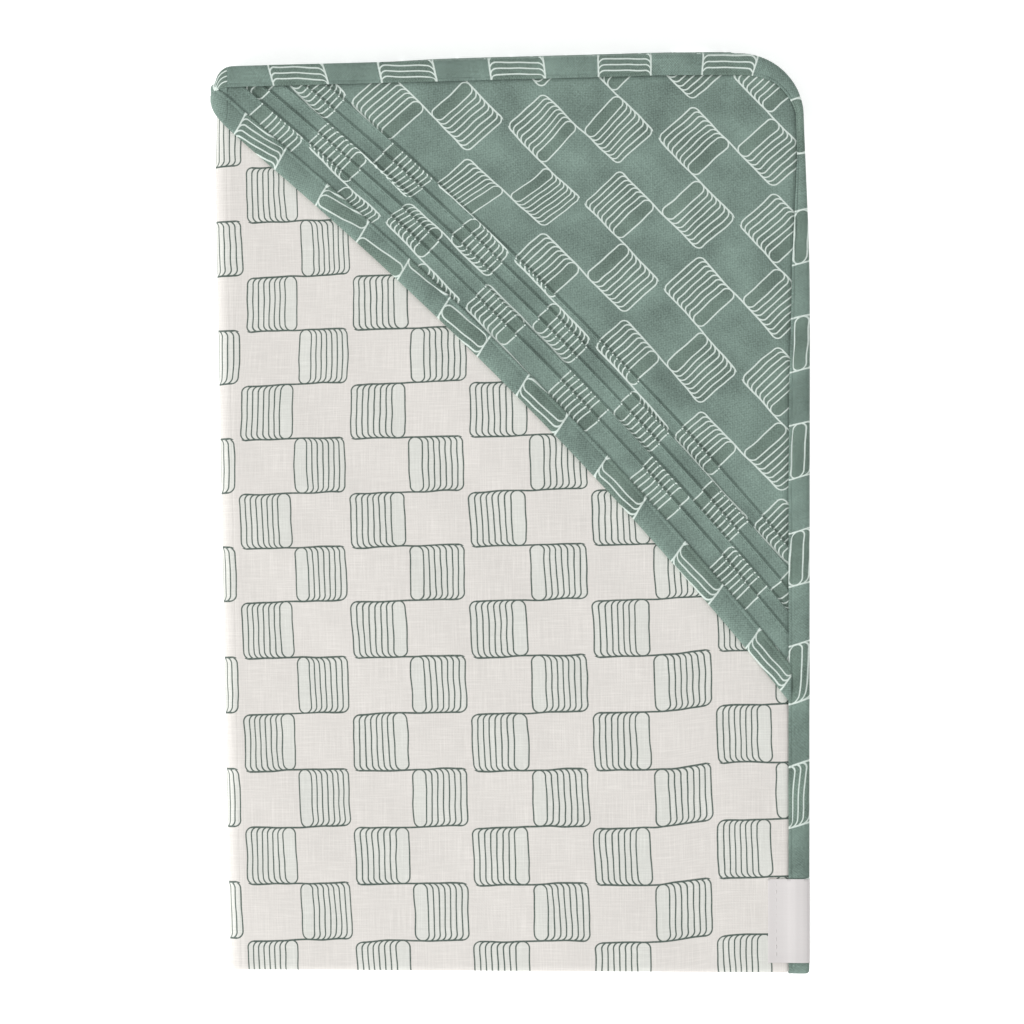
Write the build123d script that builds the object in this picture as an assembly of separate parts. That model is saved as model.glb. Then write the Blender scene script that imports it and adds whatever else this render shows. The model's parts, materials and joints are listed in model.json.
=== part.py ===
from build123d import *
import math
import os
from collections import namedtuple

# A hooded baby towel, folded away: in half across, then in three side to side, with the hood on top.
# Millimetres, +Z up. The origin is the middle of the face it lies on, +Y runs to the head edge,
# +X to the bound side edge, and the hood's sewn corner is at +X +Y.
# Every third of the fold is two plies, and every ply is a printed face and a terry backing.
# Heights inside a ply are counted from its backing side, so the face is the outside of every third.

# Folded towel
folded_width = 243.5  # outside of the left fold to the bound side edge
folded_length = 376.7  # outside of the foot fold to the bound head edge
corner_radius = 25.0  # the towel's cut corners
end_third_inset = 1.0  # the last third's bound edge lies inside the left fold by this
edge_overhang = 0.5  # the front third's bound edge stands past the right fold by this

# Cloth
face_cloth = 0.8  # printed muslin
backing_cloth = 1.3  # cotton terry
ply_gap = 0.4  # air between the two plies of a third
fold_gap = 0.3  # air between one third and the next
fold_clearance = 0.3  # a third that swings ends this far from the fold it swings about

# Edge binding
binding_width = 8.2
binding_cloth = 0.5

# Hood
hood_cloth = 0.8
hood_lining_cloth = 0.8
hood_gap = 0.3  # air in the pocket, as it lies flat
hood_side_gap = 0.5  # between the moving cloth and the binding that holds its margin
hood_drop_left = 25.0  # head edge to the free edge, at the left fold
hood_drop_right = 265.0  # head edge to the free edge, at the side binding
hood_edge_bow = 6.5  # rise of the free edge's curve towards the corner
hood_binding_width = 9.3
hood_binding_cloth = 0.4

# Pintucks along the hood's free edge
tuck_count = 5
first_tuck = 17.2  # free edge to the first tuck
tuck_pitch = 5.7
tuck_width = 1.2
tuck_height = 0.6

# Sewing thread
thread_width = 0.5
thread_depth = 0.2
seam_inset = 1.0  # stitch row to the inner edge of the binding

# Woven label, folded over the side edge
label_reach = 16.3
label_height = 34.3
label_above_foot = 4.1
label_cloth = 0.3
label_seam_inset = 2.4

# Worked out from the sizes above
ply = face_cloth + backing_cloth
third_thick = 2 * ply + ply_gap
fold_reach = third_thick + fold_gap / 2
hood_rise = hood_gap + hood_lining_cloth + hood_cloth
overall_width = folded_width + hood_rise + label_cloth
right_edge = overall_width / 2 - label_cloth
left_fold_x = right_edge - folded_width + fold_reach
right_fold_x = right_edge - edge_overhang - fold_reach
head_edge = folded_length / 2
foot_face = -folded_length / 2
foot_axis = foot_face + third_thick / 2
third_pitch = third_thick + fold_gap
right_fold_z = third_thick + fold_gap / 2
left_fold_z = right_fold_z + third_pitch
tongue_split = ply / 2
seam_out = binding_width - seam_inset - thread_width
seam_in = binding_width - seam_inset
hood_end = head_edge - hood_drop_right
ply_top = ply_gap / 2 + ply

# One third of the folded towel: height of its middle, its two side edges, and which of them is bound
Third = namedtuple("Third", "mid left right left_bound right_bound")
end_third = Third(third_thick / 2, left_fold_x + end_third_inset, right_fold_x, True, False)
middle_third = Third(
    end_third.mid + third_pitch, left_fold_x, right_fold_x - fold_clearance, False, False
)
front_third = Third(
    middle_third.mid + third_pitch, left_fold_x + fold_clearance, right_edge, False, True
)
stack_top = front_third.mid + ply_top


def block(x_low, x_high, y_low, y_high, z_low, z_high):
    """A box between two corners."""
    centre = Pos((x_low + x_high) / 2, (y_low + y_high) / 2, (z_low + z_high) / 2)
    return centre * Box(x_high - x_low, y_high - y_low, z_high - z_low)


def side_edges(third, inset):
    """Left and right edges of a third, drawn in where they are bound."""
    left = third.left + inset * third.left_bound
    right = third.right - inset * third.right_bound
    return left, right


def plan(third, inset):
    """Plan of one ply of a third, from the foot bend to the head edge, drawn in by inset."""
    left, right = side_edges(third, inset)
    top = head_edge - inset
    outline = Pos((left + right) / 2, (foot_axis + top) / 2) * Rectangle(
        right - left, top - foot_axis
    )
    cut_corners = []
    for corner in outline.vertices():
        bound = third.right_bound if corner.X > 0 else third.left_bound
        if bound and corner.Y > 0:
            cut_corners.append(corner)
    if not cut_corners:
        return outline
    return fillet(cut_corners, corner_radius - inset)


def border(third, outer, inner):
    """Plan of the strip between two insets."""
    return plan(third, outer) - plan(third, inner)


def half_ring(inner_radius, outer_radius):
    """Half a ring, on the side of negative X."""
    ring = Circle(outer_radius) - Circle(inner_radius)
    keep = Pos(-outer_radius, 0) * Rectangle(2 * outer_radius, 4 * outer_radius)
    return ring & keep


def foot_bend(third, x_low, x_high, low, high):
    """The cloth of a ply from low to high, where it turns round the foot."""
    section = half_ring(ply_gap / 2 + low, ply_gap / 2 + high)
    bend = extrude(Plane.YZ * section, x_high - x_low)
    return Pos(x_low, foot_axis, third.mid) * bend


def two_plies(third, region, low, high):
    """A plan region as cloth from low to high, in the upper ply and mirrored in the lower."""
    cloth = extrude(region, high - low)
    rise = ply_gap / 2 + low
    upper = Pos(0, 0, third.mid + rise) * cloth
    lower = Pos(0, 0, third.mid - rise - (high - low)) * cloth
    return upper + lower


def whole_cloth(third, inset, low, high):
    """Cloth over the whole third inside inset, carried round the foot."""
    left, right = side_edges(third, inset)
    flat = two_plies(third, plan(third, inset), low, high)
    return flat + foot_bend(third, left, right, low, high)


def edge_cloth(third, outer, inner, low, high):
    """Cloth along the bound edges only, carried round the foot where a side is bound."""
    strip = two_plies(third, border(third, outer, inner), low, high)
    left_outer, right_outer = side_edges(third, outer)
    left_inner, right_inner = side_edges(third, inner)
    if third.left_bound:
        strip += foot_bend(third, left_outer, left_inner, low, high)
    if third.right_bound:
        strip += foot_bend(third, right_inner, right_outer, low, high)
    return strip


def face(third):
    """Printed cloth, with a thinner tongue held in the binding."""
    tongue = edge_cloth(third, binding_cloth, binding_width, tongue_split, ply - binding_cloth)
    return whole_cloth(third, binding_width, backing_cloth, ply) + tongue


def backing(third):
    """Terry cloth inside the third, with its own tongue in the binding."""
    tongue = edge_cloth(third, binding_cloth, binding_width, binding_cloth, tongue_split)
    return whole_cloth(third, binding_width, 0, backing_cloth) + tongue


def stitching(third):
    """Row of thread along the binding's inner edge, sunk level with the binding."""
    return edge_cloth(third, seam_out, seam_in, ply - thread_depth, ply)


def binding(third):
    """Folded strip round the bound edges of both plies, open inside for the two tongues."""
    strip = edge_cloth(third, 0, binding_width, 0, ply)
    room = edge_cloth(third, binding_cloth, binding_width, binding_cloth, ply - binding_cloth)
    return strip - room - stitching(third)


def along_hood(region, low, high):
    """A plan region, kept beside the hood only, as cloth in the front third's upper ply."""
    beside = Pos(0, (hood_end + head_edge) / 2) * Rectangle(
        2 * overall_width, head_edge - hood_end
    )
    rise = front_third.mid + ply_gap / 2 + low
    return Pos(0, 0, rise) * extrude(region & beside, high - low)


def hood_margin():
    """Edge of the hood's cloth, caught in the binding on its two sewn sides."""
    region = border(front_third, binding_cloth, binding_width)
    return along_hood(region, ply - binding_cloth, ply + hood_rise - binding_cloth)


def front_stitching():
    """The front third's thread, which climbs with the binding where the hood is sewn in."""
    low_row = stitching(front_third) - along_hood(plan(front_third, 0), backing_cloth, ply)
    row = border(front_third, seam_out, seam_in)
    return low_row + along_hood(row, ply + hood_rise - thread_depth, ply + hood_rise)


def front_binding():
    """The front third's binding, thicker where it also holds the hood's margin."""
    strip = edge_cloth(front_third, 0, binding_width, 0, ply)
    raised = along_hood(border(front_third, 0, binding_width), ply - binding_cloth, ply + hood_rise)
    room = edge_cloth(
        front_third, binding_cloth, binding_width, binding_cloth, ply - binding_cloth
    )
    return strip + raised - room - hood_margin() - front_stitching()


def fold_shell(x, z, side, y_low, y_high, inner_radius, outer_radius):
    """Half a tube of cloth round a side fold, bulging to side -1 (left) or +1 (right)."""
    section = half_ring(inner_radius, outer_radius)
    if side > 0:
        section = Rot(0, 0, 180) * section
    tube = extrude(Plane.XZ * section, y_high - y_low)
    return Pos(x, y_high, z) * tube


def fold_layers(x, z, side, y_low, y_high, layers):
    """Several nested half tubes round one fold. Layers are pairs of radii."""
    shells = [fold_shell(x, z, side, y_low, y_high, low, high) for low, high in layers]
    return Compound(children=shells)


def fold_pieces(x, z, side, outer_rise):
    """Face, backing and binding where the cloth turns from one third into the next."""
    inside = fold_gap / 2
    seam_y = head_edge - binding_width
    face_layers = [(inside, inside + face_cloth), (fold_reach - face_cloth, fold_reach)]
    backing_layers = [
        (inside + face_cloth, inside + ply),
        (inside + ply + ply_gap, fold_reach - face_cloth),
    ]
    binding_layers = [
        (inside, inside + ply),
        (inside + ply + ply_gap, fold_reach + outer_rise),
    ]
    return (
        fold_layers(x, z, side, foot_axis, seam_y, face_layers),
        fold_layers(x, z, side, foot_axis, seam_y, backing_layers),
        fold_layers(x, z, side, seam_y, head_edge, binding_layers),
    )


def hood_tip():
    """Narrow end of the hood, carried round the left fold and cut off along its free edge."""
    y_low = head_edge - hood_drop_left
    y_high = head_edge - binding_width
    outside = fold_reach + hood_rise
    tube = fold_shell(
        left_fold_x, left_fold_z, -1, y_low, y_high, fold_reach + hood_gap, outside
    )
    z_low = left_fold_z - outside
    z_high = left_fold_z + outside
    below_edge = make_face(Polyline((y_low, z_high), (y_high, z_low), (y_low, z_low), close=True))
    wedge = extrude(Plane.YZ * below_edge, 2 * outside)
    return tube - Pos(left_fold_x - 2 * outside, 0, 0) * wedge


def free_edge():
    """Centre and radius of the arc that the hood's free edge follows."""
    left = Vector(left_fold_x, head_edge - hood_drop_left)
    right = Vector(right_edge - binding_width, head_edge - hood_drop_right)
    chord = right - left
    radius = (chord.length**2 / 4 + hood_edge_bow**2) / (2 * hood_edge_bow)
    to_corner = Vector(-chord.Y, chord.X).normalized()
    centre = (left + right) / 2 + to_corner * (hood_edge_bow - radius)
    return centre, radius, to_corner


def hood_zone(nearest, furthest=None):
    """Plan of the moving hood between two distances from its free edge."""
    centre, radius, _ = free_edge()
    disc = Pos(centre.X, centre.Y)
    region = plan(front_third, binding_width + hood_side_gap)
    region -= disc * Circle(radius + nearest)
    if furthest is not None:
        region &= disc * Circle(radius + furthest)
    return region


def hood_layer(region, low, high):
    """A region of the hood as cloth, with heights counted from the hood's underside."""
    return Pos(0, 0, stack_top + hood_gap + low) * extrude(region, high - low)


hood_thick = hood_lining_cloth + hood_cloth
tuck_places = [first_tuck + number * tuck_pitch for number in range(tuck_count)]


def hood_lining():
    """Soft inner layer of the hood, with a thin tongue in the free edge's binding."""
    main = hood_layer(hood_zone(hood_binding_width), 0, hood_lining_cloth)
    tongue = hood_zone(hood_binding_cloth, hood_binding_width)
    return main + hood_layer(tongue, hood_binding_cloth, hood_lining_cloth)


def tuck_stitching():
    """A row of thread beside each pintuck, on the side of the free edge."""
    rows = []
    for place in tuck_places:
        row = hood_zone(place - tuck_width / 2 - thread_width, place - tuck_width / 2)
        rows.append(hood_layer(row, hood_thick - thread_depth, hood_thick))
    return Compound(children=rows)


def hood_panel():
    """Printed outer layer of the hood, with its pintucks standing up along the free edge."""
    panel = hood_layer(hood_zone(hood_binding_width), hood_lining_cloth, hood_thick)
    tongue = hood_zone(hood_binding_cloth, hood_binding_width)
    panel += hood_layer(tongue, hood_lining_cloth, hood_thick - hood_binding_cloth)
    for place in tuck_places:
        ridge = hood_zone(place - tuck_width / 2, place + tuck_width / 2)
        panel += hood_layer(ridge, hood_thick - thread_depth, hood_thick + tuck_height)
    for row in tuck_stitching().solids():
        panel -= row
    return panel


def hood_edge_stitching():
    """Row of thread that holds the free edge's binding."""
    row = hood_zone(hood_binding_width - seam_inset - thread_width, hood_binding_width - seam_inset)
    return hood_layer(row, hood_thick - thread_depth, hood_thick)


def hood_edge_binding():
    """Folded strip round the hood's free edge."""
    strip = hood_layer(hood_zone(0, hood_binding_width), 0, hood_thick)
    room = hood_zone(hood_binding_cloth, hood_binding_width)
    room = hood_layer(room, hood_binding_cloth, hood_thick - hood_binding_cloth)
    return strip - room - hood_edge_stitching()


label_low = foot_face + label_above_foot
label_high = label_low + label_height
label_inner = right_edge - label_reach


def label_stitching():
    """Thread across the label's inner end."""
    row_x = label_inner + label_seam_inset
    top = stack_top + label_cloth
    return block(
        row_x, row_x + thread_width, label_low, label_high, top - thread_depth, top
    )


def label():
    """Satin label, folded over the side edge of the front third's upper ply."""
    top = stack_top
    bottom = stack_top - ply
    upper = block(label_inner, right_edge, label_low, label_high, top, top + label_cloth)
    lower = block(label_inner, right_edge, label_low, label_high, bottom - label_cloth, bottom)
    over_edge = block(
        right_edge,
        right_edge + label_cloth,
        label_low,
        label_high,
        bottom - label_cloth,
        top + label_cloth,
    )
    return upper + lower + over_edge - label_stitching()


left_face, left_backing, left_binding = fold_pieces(left_fold_x, left_fold_z, -1, hood_rise)
right_face, right_backing, right_binding = fold_pieces(right_fold_x, right_fold_z, 1, 0)

pieces = {
    "end_face": face(end_third),
    "end_backing": backing(end_third),
    "end_binding": binding(end_third),
    "end_binding_stitching": stitching(end_third),
    "right_fold_face": right_face,
    "right_fold_backing": right_backing,
    "right_fold_binding": right_binding,
    "middle_face": face(middle_third),
    "middle_backing": backing(middle_third),
    "middle_binding": binding(middle_third),
    "middle_binding_stitching": stitching(middle_third),
    "left_fold_face": left_face,
    "left_fold_backing": left_backing,
    "left_fold_binding": left_binding,
    "hood_tip": hood_tip(),
    "front_face": face(front_third),
    "front_backing": backing(front_third),
    "front_binding": front_binding(),
    "front_binding_stitching": front_stitching(),
    "hood_margin": hood_margin(),
    "label": label(),
    "label_stitching": label_stitching(),
    "hood_panel": hood_panel(),
    "hood_lining": hood_lining(),
    "hood_edge_binding": hood_edge_binding(),
    "hood_edge_stitching": hood_edge_stitching(),
    "hood_tuck_stitching": tuck_stitching(),
}

os.makedirs("parts", exist_ok=True)
for name, piece in pieces.items():
    export_step(piece, os.path.join("parts", name + ".step"))

_, edge_radius, toward_corner = free_edge()
print("left fold axis", round(left_fold_x, 3), round(left_fold_z, 3))
print("right fold axis", round(right_fold_x, 3), round(right_fold_z, 3))
print("stack top", round(stack_top, 3), "hood underside", round(stack_top + hood_gap, 3))
corner_reach = corner_radius - binding_width - hood_side_gap
hood_corner_x = right_edge - corner_radius + corner_reach * toward_corner.X
hood_corner_y = head_edge - corner_radius + corner_reach * toward_corner.Y
print("hood's sewn corner", round(hood_corner_x, 3), round(hood_corner_y, 3))
print("free edge radius", round(edge_radius, 1), "square to it", tuple(toward_corner))
cloth_across = 3 * folded_width + 2 * (math.pi - 2) * fold_reach / 2
cloth_along = 2 * folded_length - third_thick + math.pi * third_thick / 2
print("towel opened out, about", round(cloth_across), "by", round(cloth_along))
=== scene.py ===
# %% [markdown]
# # A hooded baby towel, folded away
# The real towel is one square of printed muslin with terry behind it, bound all round with a folded
# strip. It is folded in half, then in three, and the hood's corner pocket ends up on top. Everything
# here is thin cloth, so the lesson is about one idea: draw each piece flat, as it was cut, and let a
# short function fold it up. The solid model gives the places and the joints; this script gives the looks.

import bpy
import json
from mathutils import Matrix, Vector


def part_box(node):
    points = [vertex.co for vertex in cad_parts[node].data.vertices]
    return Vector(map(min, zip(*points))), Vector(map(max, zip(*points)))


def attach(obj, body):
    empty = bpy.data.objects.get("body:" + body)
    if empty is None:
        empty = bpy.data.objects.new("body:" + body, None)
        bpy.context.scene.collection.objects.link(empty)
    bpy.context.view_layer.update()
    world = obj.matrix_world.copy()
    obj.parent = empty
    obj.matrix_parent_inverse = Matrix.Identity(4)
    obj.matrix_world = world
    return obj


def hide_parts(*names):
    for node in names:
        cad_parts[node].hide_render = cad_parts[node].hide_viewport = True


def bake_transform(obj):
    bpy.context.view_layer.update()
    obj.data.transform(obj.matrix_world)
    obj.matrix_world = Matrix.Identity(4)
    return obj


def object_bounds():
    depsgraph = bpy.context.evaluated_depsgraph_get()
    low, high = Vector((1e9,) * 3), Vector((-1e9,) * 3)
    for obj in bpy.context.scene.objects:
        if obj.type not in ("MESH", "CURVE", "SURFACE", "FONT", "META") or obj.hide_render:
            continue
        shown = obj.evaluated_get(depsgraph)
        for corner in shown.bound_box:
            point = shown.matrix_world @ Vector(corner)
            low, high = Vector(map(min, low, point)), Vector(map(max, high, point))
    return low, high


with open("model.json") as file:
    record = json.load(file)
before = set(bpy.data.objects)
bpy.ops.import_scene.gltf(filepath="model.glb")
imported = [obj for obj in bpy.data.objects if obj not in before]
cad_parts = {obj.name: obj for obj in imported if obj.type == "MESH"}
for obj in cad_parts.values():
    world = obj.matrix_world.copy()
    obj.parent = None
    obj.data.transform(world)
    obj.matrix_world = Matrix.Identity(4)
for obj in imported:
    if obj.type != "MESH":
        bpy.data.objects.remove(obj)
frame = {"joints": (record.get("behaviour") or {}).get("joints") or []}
cad_box = [list(corner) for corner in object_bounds()]

import json
import math

import bpy
import numpy as np

MM = 0.001
print("the solid model's box, mm:", [[round(c / MM, 1) for c in corner] for corner in cad_box])

# %% [markdown]
# ## Sizes
# Every place comes from the solid model, so nothing has to be fitted by eye. A node's box gives the
# edges of its cloth, and a joint gives the line that the towel folds about. Working in millimetres keeps
# the numbers readable, and the meshes are turned into metres at the very end.


# %% Read sizes off the solid model
def box_mm(node):
    low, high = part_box(node)
    return np.array(low) / MM, np.array(high) / MM


def joint_mm(name):
    joint = next(j for j in frame["joints"] if j["name"] == name)
    return np.array(joint["pos_m"]) / MM


HEAD = cad_box[1][1] / MM
FOOT = cad_box[0][1] / MM
TOP = box_mm("front_face")[1][2]
LEFT_FOLD, RIGHT_FOLD = joint_mm("left_fold"), joint_mm("right_fold")
print("head", round(HEAD, 2), "foot", round(FOOT, 2), "top of the stack", round(TOP, 2))

# %% Thickness of one ply: printed muslin outside, terry inside
face_low, face_high = box_mm("front_face")
terry_high = box_mm("front_backing")[1]
PLY_GAP = 0.4
HALF_THIRD = (face_high[2] - face_low[2]) / 2
PLY = HALF_THIRD - PLY_GAP / 2
MUSLIN = face_high[2] - terry_high[2]
BINDING = HEAD - box_mm("middle_binding")[0][1]
CORNER = 25.0
HOOD_RISE = box_mm("front_binding")[1][2] - TOP
print("ply", round(PLY, 2), "muslin", round(MUSLIN, 2), "binding", round(BINDING, 2), "hood", round(HOOD_RISE, 2))


# %% The three thirds, from the bottom of the stack to the top
class Third:
    def __init__(self, name, left, right, left_bound, right_bound):
        low, high = box_mm(name + "_face")
        self.name, self.body = name, name + "_third"
        self.left, self.right = left, right
        self.left_bound, self.right_bound = left_bound, right_bound
        self.mid = (low[2] + high[2]) / 2


end = Third("end", box_mm("end_binding")[0][0], RIGHT_FOLD[0], True, False)
middle = Third("middle", LEFT_FOLD[0], RIGHT_FOLD[0], False, False)
front = Third("front", LEFT_FOLD[0], box_mm("front_binding")[1][0], False, True)
for third in (end, middle, front):
    print(third.name, "third from", round(third.left, 1), "to", round(third.right, 1), "at height", round(third.mid, 2))

# %% [markdown]
# ## Folding a flat cloth
# A point of the cut cloth has three numbers: x across, v along from the upper head edge round the foot
# to the lower head edge, and d, its height inside the ply. Bending the mesh with a modifier would do it
# too, but a function keeps every layer the right distance from the next, even round the foot.

# %% A smooth step, a value read off a curve of pairs, and the distance along a line of points
def smooth(value, low, high):
    t = np.clip((value - low) / (high - low), 0, 1)
    return t * t * (3 - 2 * t)


def read_off(curve, value):
    return np.interp(value, *np.transpose(curve))


def distance_along(points):
    return np.concatenate([[0], np.cumsum(np.linalg.norm(np.diff(points, axis=0), axis=1))])


# %% The two lower thirds are tucked in under the rounded corner
TUCK_ACROSS, TUCK_DOWN = 4.0, 13.0


def tuck_in(x, y):
    weight = smooth(y, HEAD - 40, HEAD) * smooth(x, front.right - 30, front.right)
    return x - TUCK_ACROSS * weight, y - TUCK_DOWN * weight


# %% From the flat cloth to the folded third
FOOT_AXIS = FOOT + HALF_THIRD
PLY_LENGTH = HEAD - FOOT_AXIS
CLOTH_LENGTH = 2 * PLY_LENGTH + math.pi * HALF_THIRD
FOOT_STARTS, FOOT_ENDS = PLY_LENGTH, CLOTH_LENGTH - PLY_LENGTH


def fold(third, x, v, d):
    x, v, d = np.broadcast_arrays(np.asarray(x, float), np.asarray(v, float), np.asarray(d, float))
    reach = PLY_GAP / 2 + d
    turn = np.clip((v - FOOT_STARTS) / HALF_THIRD, 0, math.pi)
    straight = np.where(v < FOOT_STARTS, FOOT_STARTS - v, np.where(v > FOOT_ENDS, v - FOOT_ENDS, 0))
    y = FOOT_AXIS + straight - reach * np.sin(turn)
    if third is not front:
        x, y = tuck_in(x, y)
    return np.stack([x, y, third.mid + reach * np.cos(turn)], -1)


# %% Carry an edge of a third round a side fold, by an angle from 0 to half a turn
def carry(points, axis, side, turn):
    height = points[..., 2] - axis[2]
    x, y = axis[0] + side * height * np.sin(turn), points[..., 1]
    if side > 0:
        x, y = tuck_in(x, y + 0 * x)
    return np.stack(np.broadcast_arrays(x, y, axis[2] + height * np.cos(turn)), -1)


# %% The outline narrows at the two cut corners of a bound side
def side_limits(third, v, inset):
    radius = CORNER - inset
    into_corner = np.clip(inset + radius - np.minimum(v, CLOTH_LENGTH - v), 0, radius)
    pull = inset + radius - np.sqrt(radius**2 - into_corner**2)
    return third.left + pull * third.left_bound, third.right - pull * third.right_bound


print("the cloth of one third is", round(CLOTH_LENGTH, 1), "mm long from head edge to head edge")

# %% [markdown]
# ## Settling
# Nobody folds a towel dead square. The left fold leans in towards the foot, the head edge drops towards
# the left, the sewn corner pulls the side edge in a little, and the plies underneath stray by a
# millimetre or two. All pieces go through one smooth settling function. Layers that lie close together
# move together, so they can't cut through each other, and the underside stays flat.


# %% How far each part strays
LEAN, HEAD_DROP, FOOT_RISE = 7.0, 6.6, 1.3
SEWN_PULL, FOLD_ROUND, HEAD_NARROW = 3.2, 7.0, 1.3
OUTER_LEFT = LEFT_FOLD[0] - (TOP - LEFT_FOLD[2])


def settle(points):
    x, y, z = points[..., 0], points[..., 1], points[..., 2]
    across = (x - front.left) / (front.right - front.left)
    down = (HEAD - y) / (HEAD - FOOT)
    lift = np.clip(z / TOP, 0, 1.2)
    dx = LEAN * down * (1 - across)
    dx = dx - SEWN_PULL * smooth(y, 85, HEAD + 10) * smooth(x, 20, front.right)
    dy = (1 - across) * (FOOT_RISE * down - HEAD_DROP * (1 - down))
    dy = dy - 1.2 * smooth(x, 60, front.right) * smooth(y, 120, HEAD)
    near_fold = np.clip(FOLD_ROUND - (x - OUTER_LEFT), 0, FOLD_ROUND)
    dy = dy - (FOLD_ROUND - np.sqrt(FOLD_ROUND**2 - near_fold**2)) * smooth(y, HEAD - 13, HEAD)
    dx = dx + HEAD_NARROW * (1 - smooth(x, front.left - 7, front.left + 22)) * smooth(y, HEAD - 50, HEAD - 14)
    stray = 1 - np.clip(lift, 0, 1)
    dy = dy + 1.6 * stray * smooth(x, -80, -20) * smooth(y, 60, HEAD) * (1 - smooth(x, 95, 120))
    dx = dx + 0.9 * stray * np.sin((y + 40) / 70) * smooth(x, 40, 110)
    wave = 0.42 * np.sin(x / 19 + 0.8) * np.sin(y / 27 + 0.4) + 0.3 * np.sin((x + y) / 31) * np.sin(y / 47)
    ripple = 0.12 * np.sin(x / 6.1 + y / 8.7) + 0.1 * np.sin(y / 5.3 - x / 11.0)
    return np.stack([x + dx, y + dy, z + lift * (wave + ripple)], -1)


# %% [markdown]
# ## Where the print falls
# The print belongs to the cloth, so each piece carries its place in the print as a UV map in
# millimetres, and the material only has to draw. The cloth stretches a little as it is printed and
# washed: a short list of where each repeat starts says how much.

# %% One repeat of the print
ROW = 22.5
BLOCK = 21.8
BLOCK_GAP = 1.9
REPEAT = 47.9


def register(value, marks, step):
    """Place in the print, from where each repeat starts on the cloth."""
    inside = np.interp(value, marks, np.arange(len(marks)) * step)
    outside = np.minimum(value - marks[0], 0) + np.maximum(value - marks[-1], 0)
    return inside + outside * step / np.mean(np.diff(marks))


BLOCK_STARTS = [-113.0, -67.4, -18.0, 32.9, 84.5]
ROW_PAIR_STARTS = [41.9, 87.9, 132.8, 178.2, 223.3, 269.9, 317.1, 364.2]


def towel_print(cloth_x, cloth_v):
    pulled_at_head = 5.0 * (1 - smooth(cloth_v, 80, 175)) * (1 - 0.5 * smooth(cloth_x, -100, -50))
    pulled_at_side = 3.2 * smooth(cloth_x, 58, 92) * smooth(cloth_v, 200, 270)
    x = register(cloth_x - pulled_at_head, BLOCK_STARTS, REPEAT)
    y = register(cloth_v + pulled_at_side, ROW_PAIR_STARTS, 2 * ROW)
    return np.stack(np.broadcast_arrays(x, y), -1)


# %% [markdown]
# ## Making a mesh
# Every cloth is a grid of points with quads between them. Python lists of vertices and faces are the
# plainest way to make one. A solidify modifier then gives the cloth its thickness, and it also keeps
# the thickness right where a fold opens.

# %% A grid of points becomes a mesh
def new_object(name, points, faces, print_places, material):
    mesh = bpy.data.meshes.new(name)
    mesh.from_pydata((points * MM).tolist(), [], faces)
    if print_places is not None:
        mesh.uv_layers.new(name="cloth").data.foreach_set("uv", print_places.astype(np.float32).ravel())
    mesh.polygons.foreach_set("use_smooth", [True] * len(mesh.polygons))
    mesh.materials.append(material)
    mesh.update()
    piece = bpy.data.objects.new(name, mesh)
    bpy.context.scene.collection.objects.link(piece)
    return piece


def cloth(name, points, print_places, material, thickness, flip=False, row_shift=None):
    rows, columns = points.shape[:2]
    number = np.arange(rows * columns).reshape(rows, columns)
    corners = np.stack([number[:-1, :-1], number[:-1, 1:], number[1:, 1:], number[1:, :-1]], -1)
    places = print_places.reshape(-1, 2)[corners]
    if row_shift is not None:
        places = places + row_shift
    corners, places = corners.reshape(-1, 4), places.reshape(-1, 4, 2)
    if flip:
        corners, places = corners[:, ::-1], places[:, ::-1]
    piece = new_object(name, settle(points).reshape(-1, 3), corners.tolist(), places, material)
    if thickness:
        shell = piece.modifiers.new("thickness", "SOLIDIFY")
        shell.thickness, shell.offset = thickness * MM, -1
        piece.modifiers.new("even shading at the cut edges", "WEIGHTED_NORMAL").weight = 100
    return piece


# %% [markdown]
# ## The print as a drawing
# One block of the print is eight round-ended bars, each lying partly over the one before, so only the
# last shows whole. Blocks step down to the right, one row up, one row down. A picture could hold this,
# but a drawing made of shader nodes stays sharp at any distance. The distance to a round-ended bar is
# easy to work out, and the outline is wherever that distance is nearly nothing.


# %% A short way to write shader arithmetic
class Wiring:
    def __init__(self, tree):
        self.tree = tree

    def node(self, kind, inputs=(), **settings):
        made = self.tree.nodes.new(kind)
        for name, value in settings.items():
            setattr(made, name, value)
        for place, value in dict(inputs).items():
            self.plug(made.inputs[place], value)
        return made

    def plug(self, socket, value):
        if isinstance(value, bpy.types.NodeSocket):
            self.tree.links.new(value, socket)
        else:
            socket.default_value = value

    def maths(self, operation, *values, clamp=False):
        made = self.node("ShaderNodeMath", operation=operation, use_clamp=clamp)
        for socket, value in zip(made.inputs, values):
            self.plug(socket, value)
        return made.outputs[0]

    def add(self, a, b):
        return self.maths("ADD", a, b)

    def less(self, a, b):
        return self.maths("SUBTRACT", a, b)

    def times(self, a, b):
        return self.maths("MULTIPLY", a, b)

    def vector(self, operation, a, b):
        place = 3 if operation == "SCALE" else 1
        return self.node("ShaderNodeVectorMath", {0: a, place: b}, operation=operation).outputs[0]

    def noise(self, place, scale, detail, output="Fac"):
        inputs = {"Vector": place, "Scale": scale, "Detail": detail}
        return self.node("ShaderNodeTexNoise", inputs).outputs[output]


# %% One round-ended bar of a block: how much of its outline, and whether a point is inside it
BAR_STEP = 2.34
BAR_WIDTH = BLOCK - 7 * BAR_STEP
LINE = 0.57
LINE_SOFT = 0.10


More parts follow.
